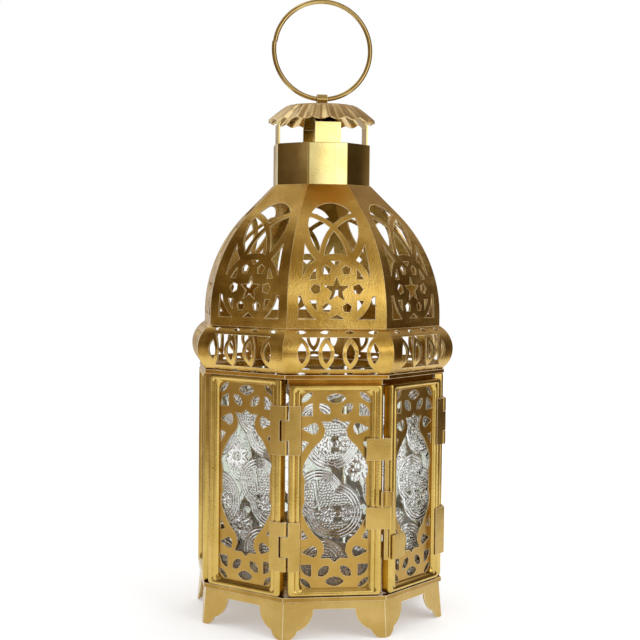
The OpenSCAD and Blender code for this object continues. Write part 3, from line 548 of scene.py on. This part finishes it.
def collar():
    """Octagonal sleeve with softly bent corners and faces that bow a little, lapped at the front."""
    low, high = (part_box("chimney_collar")[k].z for k in (0, 1))
    bend, steps, seam, lap = 1.5 * MM, 6, 2.6 * MM, 0.14 * MM

    def section(apothem, side_bow, lapped):
        points = []
        half = (apothem - bend) * HALF_TAN
        across = sorted(list(np.linspace(-half, half, 13)) + [seam - 0.03 * MM, seam + 0.03 * MM])
        for side in range(SIDES):
            spin = Matrix.Rotation(TURN * side, 3, "Z")
            for x in across:
                rise = lap * min(1, (half - x) / (half - seam) * 1.6) if lapped and side == 0 and x > seam else 0
                points.append(spin @ Vector((x, -apothem - side_bow * (1 - (x / half) ** 2) - rise, 0)))
            hub = Vector((half, -apothem + bend, 0))
            for k in range(1, steps):
                a = TURN * k / steps
                points.append(spin @ (hub + Vector((bend * math.sin(a), -bend * math.cos(a), 0))))
        return points

    outer, inner = section(COLLAR - 0.3 * MM, 0.3 * MM, True), section(COLLAR - 0.3 * MM - SHEET, 0.3 * MM, False)
    lip = 0.2 * MM
    rows = [(inner, low), (outer, low), (outer, high - lip), (None, high), (inner, high)]
    verts, n = [], len(outer)
    for ring, z in rows:
        for k in range(n):
            p = ring[k] if ring else outer[k].lerp(inner[k], 0.3)
            verts.append((p.x, p.y, z))
    faces = [(j * n + k, j * n + (k + 1) % n, (j + 1) % 5 * n + (k + 1) % n, (j + 1) % 5 * n + k)
             for j in range(5) for k in range(n)]
    join_to("lantern", "bright_sheet", made("chimney_sleeve", verts, faces, HIGHLIGHTED_COLLAR_GOLD, 40), "chimney_collar")
    join_to("lantern", "bright_sheet", eased("chimney_struts", "chimney_straps", HIGHLIGHTED_COLLAR_GOLD, 0.15 * MM),
            "chimney_struts")


def cap():
    """Pleated cap: a disc whose skirt is pressed into flutes, from a grid wrapped round the axis."""
    lowest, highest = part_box("chimney_cap")
    top = 217.81 * MM
    tree = bpy.data.node_groups.new("pleated cap", "GeometryNodeTree")
    sizes = {"Hole": 2.5 * MM, "Flat": 14.4 * MM, "Brim": 22.9 * MM, "Height": 6.7 * MM, "Pleat": 0.52 * MM, "Top": top}
    for label in sizes:
        tree.interface.new_socket(label, in_out="INPUT", socket_type="NodeSocketFloat")
    tree.interface.new_socket("Pleats", in_out="INPUT", socket_type="NodeSocketInt")
    tree.interface.new_socket("Finish", in_out="INPUT", socket_type="NodeSocketMaterial")
    tree.interface.new_socket("Cap", in_out="OUTPUT", socket_type="NodeSocketGeometry")
    given = tree.nodes.new("NodeGroupInput").outputs
    round_count = sums(tree, "MULTIPLY_ADD", given["Pleats"], 12, 1)
    grid = put(tree, "GeometryNodeMeshGrid", {"Size X": 1.0, "Size Y": 1.0, "Vertices X": round_count, "Vertices Y": 22})
    where = put(tree, "ShaderNodeSeparateXYZ", {0: put(tree, "GeometryNodeInputPosition")}).node.outputs
    share = sums(tree, "ADD", where[1], 0.5)
    angle = sums(tree, "MULTIPLY", sums(tree, "ADD", where[0], 0.5), math.tau)
    inward = put(tree, "ShaderNodeMapRange", {"Value": share, "From Min": 0.0, "From Max": 0.2})
    outward = put(tree, "ShaderNodeMapRange", {"Value": share, "From Min": 0.2, "From Max": 1.0})
    rise = sums(tree, "POWER", outward, 1.12)
    radius = sums(tree, "MULTIPLY_ADD", inward, sums(tree, "SUBTRACT", given["Flat"], given["Hole"]), given["Hole"])
    radius = sums(tree, "MULTIPLY_ADD", outward, sums(tree, "SUBTRACT", given["Brim"], given["Flat"]), radius)
    swing = sums(tree, "COSINE", sums(tree, "MULTIPLY", angle, given["Pleats"]))
    depth = sums(tree, "MULTIPLY", given["Pleat"], sums(tree, "POWER", outward, 0.5))
    z = sums(tree, "MULTIPLY_ADD", swing, depth, sums(tree, "SUBTRACT", given["Top"],
                                                      sums(tree, "MULTIPLY", rise, given["Height"])))
    x = sums(tree, "MULTIPLY", radius, sums(tree, "SINE", angle))
    y = sums(tree, "MULTIPLY", radius, sums(tree, "MULTIPLY", sums(tree, "COSINE", angle), -1.0))
    moved = put(tree, "GeometryNodeSetPosition", {"Geometry": grid, "Position": put(tree, "ShaderNodeCombineXYZ",
                                                                                    {0: x, 1: y, 2: z})})
    closed = put(tree, "GeometryNodeMergeByDistance", {"Geometry": moved, "Distance": 0.01 * MM})
    done = put(tree, "GeometryNodeSetMaterial", {"Geometry": closed, "Material": given["Finish"]})
    tree.links.new(done, tree.nodes.new("NodeGroupOutput").inputs[0])
    obj = made("pleated_cap", [(0, 0, 0)], [], CAP_GOLD)
    use(obj, tree, {**sizes, "Pleats": 20, "Finish": CAP_GOLD})
    outward_normals(obj)
    wall = obj.modifiers.new("sheet", "SOLIDIFY")
    wall.thickness, wall.offset = 0.6 * MM, -1.0
    baked(obj)
    settle(obj, CAP_GOLD, 50)
    join_to("lantern", "fluted_cap", obj, "chimney_cap")


def outward_normals(obj):
    bm = bmesh.new()
    bm.from_mesh(obj.data)
    bmesh.ops.recalc_face_normals(bm, faces=bm.faces[:])
    if sum(f.normal.z * f.calc_area() for f in bm.faces) < 0:
        bmesh.ops.reverse_faces(bm, faces=bm.faces[:])
    bm.to_mesh(obj.data)
    bm.free()


def hanging_ring():
    """Bent wire whose ends meet with a small step at the left."""
    lowest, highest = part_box("hanging_ring")
    centre = (lowest + highest) / 2
    wire, size = 1.0 * MM, 20.8 * MM
    around, round_wire = 150, 14
    verts, faces = [], []
    start = math.radians(171)
    for j in range(around + 1):
        t = j / around
        a = start + (math.tau - 0.003) * t
        step = 0.16 * MM * (math.exp(-t / 0.04) - math.exp(-(1 - t) / 0.04))
        spoke = Vector((math.cos(a), 0, math.sin(a)))
        for k in range(round_wire):
            b = math.tau * k / round_wire
            p = centre + spoke * (size + step + wire * math.cos(b)) + Vector((0, wire * math.sin(b), 0))
            verts.append(p)
    for j in range(around):
        for k in range(round_wire):
            faces.append((j * round_wire + k, j * round_wire + (k + 1) % round_wire,
                          (j + 1) * round_wire + (k + 1) % round_wire, (j + 1) * round_wire + k))
    faces.append(tuple(range(round_wire - 1, -1, -1)))
    faces.append(tuple(around * round_wire + k for k in range(round_wire)))
    obj = made("wire_ring", verts, faces, WIRE_GOLD, 50)
    bm = bmesh.new()
    bm.from_mesh(obj.data)
    bmesh.ops.recalc_face_normals(bm, faces=bm.faces[:])
    bm.to_mesh(obj.data)
    bm.free()
    join_to("ring", "ring_wire", obj, "hanging_ring")
    join_to("lantern", "ring_wire", eased("ring_strap", "ring_loop_strap", WIRE_GOLD, 0.14 * MM), "ring_strap")


# ---------------------------------------------------------------- hinges and latch

def hardware():
    for node, name, body in (("left_hinge_leaves", "left_post_leaves", "lantern"),
                             ("right_hinge_leaves", "right_post_leaves", "lantern"),
                             ("left_door_leaves", "left_door_hinge_plates", "left_door"),
                             ("right_door_leaves", "right_door_hinge_plates", "right_door"),
                             ("hinge_pins", "hinge_wires", "lantern"),
                             ("upper_bolt_guide", "upper_guide_plate", "left_door"),
                             ("lower_bolt_guide", "lower_guide_plate", "left_door"),
                             ("bolt_keeper", "keeper_plate", "right_door"),
                             ("slide_bolt", "bolt_strip", "bolt")):
        join_to(body, "hardware", eased(node, name, HINGE_GOLD, 0.1 * MM), node)
    for node in ("glass_clips", "left_door_clips", "right_door_clips"):
        settle_cad(node, HINGE_GOLD)


def settle_cad(node, finish):
    """Gives a CAD node that stays its finish."""
    for slot in frame["nodes"][node].material_slots:
        slot.material = finish


# ---------------------------------------------------------------- studio

def camera():
    """The photograph's viewpoint: a little left of the left door, just above the belly."""
    data = bpy.data.cameras.new("camera")
    data.lens, data.sensor_width = 76.28, 36
    data.shift_x, data.shift_y = 0.0007, 0.0034
    eye = bpy.data.objects.new("camera", data)
    bpy.context.scene.collection.objects.link(eye)
    turn, back = math.radians(-8.205), 587.4 * MM
    eye.location = (math.sin(turn) * back, -math.cos(turn) * back, 153.6 * MM)
    eye.rotation_euler = (Matrix.Rotation(turn, 3, "Z") @ Matrix.Rotation(math.radians(90 - 2.802), 3, "X")
                          @ Matrix.Rotation(math.radians(0.592), 3, "Z")).to_euler()
    data.clip_start, data.clip_end = 0.01, 50
    bpy.context.scene.camera = eye


def softbox(name, azimuth, elevation, distance, wide, tall, power, tone=(1, 1, 1)):
    """Rectangular lamp that faces the lantern's middle."""
    data = bpy.data.lights.new(name, "AREA")
    data.shape, data.size, data.size_y = "RECTANGLE", wide, tall
    data.energy, data.color = power, tone
    lamp = bpy.data.objects.new(name, data)
    bpy.context.scene.collection.objects.link(lamp)
    a, e = math.radians(azimuth), math.radians(elevation)
    back = Vector((math.sin(a) * math.cos(e), -math.cos(a) * math.cos(e), math.sin(e)))
    lamp.location = Vector((0, 0, 0.13)) + back * distance
    lamp.rotation_euler = back.to_track_quat("Z", "Y").to_euler()
    return lamp


def surroundings(tree, white, plain):
    """White where the eye, a gloss or a glass looks, and plain light elsewhere."""
    rays = tree.nodes.new("ShaderNodeLightPath").outputs
    seen = sums(tree, "MAXIMUM", sums(tree, "MAXIMUM", rays["Is Camera Ray"], rays["Is Glossy Ray"]),
                rays["Is Transmission Ray"])
    return put(tree, "ShaderNodeMixShader", {0: seen, 1: plain, 2: white})


def world():
    sky = bpy.data.worlds.new("studio")
    bpy.context.scene.world = sky
    sky.use_nodes = True
    tree = sky.node_tree
    tree.nodes.clear()
    white = put(tree, "ShaderNodeBackground", {"Color": (1, 1, 1, 1), "Strength": 1.0})
    plain = put(tree, "ShaderNodeBackground", {"Color": (1, 1, 1, 1), "Strength": 0.8})
    out = tree.nodes.new("ShaderNodeOutputWorld")
    tree.links.new(surroundings(tree, white, plain), out.inputs[0])


# Cloth round the lantern: direction in degrees from the front, distance, and its tone at each of the heights below
CLOTH_HEIGHTS = (0.0, 0.09, 0.125, 0.18, 0.235, 0.30, 0.45, 0.85)
CLOTH = [(-180, 0.40, 0.60, 0.60, 0.60, 0.60, 0.60, 0.70, 0.60, 0.50),
         (-172, 0.40, 0.55, 0.50, 0.45, 0.40, 0.32, 0.40, 0.45, 0.50),
         (-152, 0.40, 0.95, 0.95, 0.95, 1.00, 1.30, 1.30, 0.90, 0.60),
         (-128, 0.32, 0.45, 0.42, 0.40, 0.40, 0.45, 0.50, 0.60, 1.20),
         (-104, 0.26, 0.34, 0.28, 0.14, 0.06, 0.06, 0.05, 0.12, 0.90),
         (-76, 0.26, 0.64, 0.56, 0.18, 0.08, 0.24, 0.22, 0.28, 1.00),
         (-60, 0.30, 0.84, 0.78, 0.50, 0.50, 0.60, 0.50, 0.40, 0.90),
         (-40, 0.36, 0.40, 0.34, 0.28, 0.28, 0.28, 0.28, 0.26, 0.50),
         (-20, 0.42, 0.40, 0.34, 0.26, 0.30, 0.40, 0.30, 0.26, 0.30),
         (1, 0.45, 0.50, 0.26, 0.14, 0.24, 1.30, 0.24, 0.16, 0.20),
         (6, 0.45, 0.56, 0.32, 0.18, 0.40, 2.30, 0.40, 0.24, 0.24),
         (11, 0.45, 0.70, 0.50, 0.40, 0.90, 2.70, 0.90, 0.60, 0.30),
         (20, 0.45, 1.20, 1.30, 1.60, 1.40, 2.60, 1.20, 0.80, 0.38),
         (32, 0.45, 1.20, 1.30, 1.50, 1.60, 2.00, 1.60, 1.10, 0.38),
         (46, 0.40, 0.60, 0.60, 0.70, 0.80, 1.10, 0.90, 0.60, 0.30),
         (60, 0.32, 0.28, 0.24, 0.24, 0.24, 0.24, 0.24, 0.22, 0.20),
         (76, 0.28, 0.14, 0.09, 0.06, 0.06, 0.07, 0.07, 0.08, 0.14),
         (98, 0.28, 0.14, 0.08, 0.06, 0.06, 0.07, 0.07, 0.08, 0.14),
         (108, 0.28, 0.42, 0.36, 0.30, 0.26, 0.22, 0.20, 0.18, 0.20),
         (118, 0.30, 0.85, 0.85, 0.85, 0.85, 0.80, 0.70, 0.50, 0.30),
         (132, 0.34, 0.40, 0.36, 0.36, 0.36, 0.36, 0.34, 0.28, 0.40),
         (158, 0.40, 0.45, 0.45, 0.45, 0.50, 0.60, 0.60, 0.45, 0.45),
         (180, 0.40, 0.60, 0.60, 0.60, 0.60, 0.60, 0.70, 0.60, 0.50)]


def tent():
    """Cloth hung round the lantern in lighter and darker breadths, which only the gloss of the metal sees."""
    table = np.array(CLOTH)
    rises = np.linspace(0.002, 0.85, 34)
    turns = np.linspace(-180, 180, 145)[:-1]
    tones = np.array([np.interp(turns, table[:, 0], table[:, 2 + k]) for k in range(len(CLOTH_HEIGHTS))])
    verts, faces, glow = [], [], []
    for k, turn in enumerate(turns):
        a, away = math.radians(turn), np.interp(turn, table[:, 0], table[:, 1])
        verts += [(math.sin(a) * away, -math.cos(a) * away, z) for z in rises]
        glow += list(np.interp(rises, CLOTH_HEIGHTS, tones[:, k]))
    n = len(rises)
    for k in range(len(turns)):
        for j in range(n - 1):
            a, b = k * n + j, (k + 1) % len(turns) * n + j
            faces.append((a, b, b + 1, a + 1))
    gloss_only(glowing(made("hung cloth", verts, faces, bpy.data.materials.new("hung cloth")), glow))


def canopy():
    """Level cloth overhead, brighter to the left and right than over the lantern."""
    reach = np.linspace(-0.5, 0.5, 41)
    verts = [(x, y, 0.86) for x in reach for y in (-0.5, 0.5)]
    faces = [(2 * k, 2 * k + 2, 2 * k + 3, 2 * k + 1) for k in range(40)]
    glow = [float(np.interp(abs(x), (0.03, 0.14, 0.5), (0.42, 1.25, 2.2) if x < 0 else (0.42, 0.75, 0.16)))
            for x in reach for _ in (0, 1)]
    gloss_only(glowing(made("canopy", verts, faces, bpy.data.materials.new("canopy cloth")), glow))


def glowing(obj, glow):
    """Lights a cloth by the tone at each of its points, the darker the warmer."""
    obj.data.attributes.new("glow", "FLOAT", "POINT").data.foreach_set("value", glow)
    mat = obj.data.materials[0]
    mat.use_nodes = True
    tree = mat.node_tree
    tree.nodes.clear()
    light = put(tree, "ShaderNodeAttribute", attribute_name="glow").node.outputs["Fac"]
    warm = put(tree, "ShaderNodeMapRange", {"Value": light, "From Min": 0.1, "From Max": 0.9})
    hue = mixed(tree, warm, (1.0, 0.66, 0.36, 1), (1.0, 1.0, 1.0, 1))
    shine = put(tree, "ShaderNodeEmission", {"Color": hue, "Strength": light})
    tree.links.new(shine, tree.nodes.new("ShaderNodeOutputMaterial").inputs[0])
    return obj


def gloss_only(obj):
    obj.visible_camera = obj.visible_diffuse = obj.visible_transmission = obj.visible_shadow = False


def floor():
    """Pale table that keeps the lantern's shadow and runs out into the white."""
    size = 3.0
    obj = made("table", [(-size, -size, 0), (size, -size, 0), (size, size, 0), (-size, size, 0)], [(0, 1, 2, 3)],
               bpy.data.materials.new("pale table"))
    mat = obj.data.materials[0]
    mat.use_nodes = True
    tree = mat.node_tree
    tree.nodes.clear()
    matt = put(tree, "ShaderNodeBsdfDiffuse", {"Color": (0.8, 0.8, 0.8, 1)})
    lift = put(tree, "ShaderNodeEmission", {"Color": (1, 1, 1, 1), "Strength": 0.36})
    both = put(tree, "ShaderNodeAddShader", {0: matt, 1: lift})
    tree.links.new(surroundings(tree, both, matt), tree.nodes.new("ShaderNodeOutputMaterial").inputs[0])


def studio():
    bpy.context.scene.view_settings.view_transform = "Standard"
    world()
    floor()
    softbox("front right softbox", 38, 24, 1.5, 0.8, 1.0, 5)
    softbox("left softbox", -62, 30, 1.5, 0.5, 1.0, 1.2)
    softbox("rear softbox", 150, 50, 1.5, 0.9, 0.9, 2.5)
    tent()
    canopy()


camera()
base()
frames()
grilles()
glass()
belly()
dome()
collar()
cap()
hanging_ring()
hardware()
studio()
